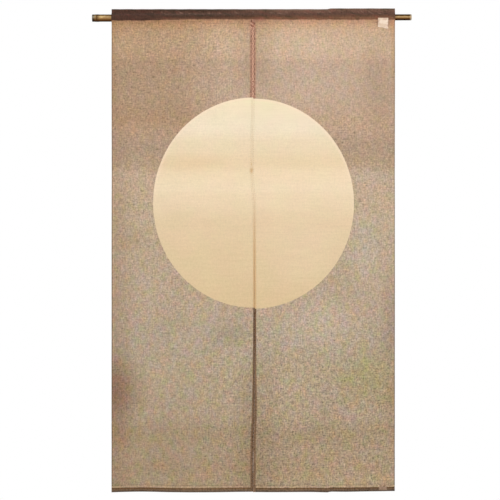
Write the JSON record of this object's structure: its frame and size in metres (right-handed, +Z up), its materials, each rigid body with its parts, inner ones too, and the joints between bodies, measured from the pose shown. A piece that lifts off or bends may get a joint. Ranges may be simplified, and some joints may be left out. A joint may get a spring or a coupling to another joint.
{
  "type": "noren curtain on a bamboo rod",
  "caption": "Split cloth door curtain of coarse hemp with a plain cream disc dyed across both halves, laced together at the head, slit below, hung by its top pocket on a bamboo rod.",
  "frame": {"origin": "on the rod's axis, at the middle of the cloth's width", "axes": "+X along the rod, to the right for someone who looks at the front; +Z up; the front faces -Y"},
  "size_m": [0.991, 0.0264, 1.5024],
  "materials": {
    "hemp_cloth": "coarse semi-sheer plain weave, undyed brown ground with a cream disc",
    "bamboo": "smoked bamboo, lightly polished",
    "label_cloth": "pale cotton tape, bare"
  },
  "bodies": {
    "root": {"rod": "bamboo", "panel_left": "hemp_cloth", "panel_right": "hemp_cloth", "label_top": "label_cloth", "label_hem": "label_cloth"}
  },
  "joints": []
}
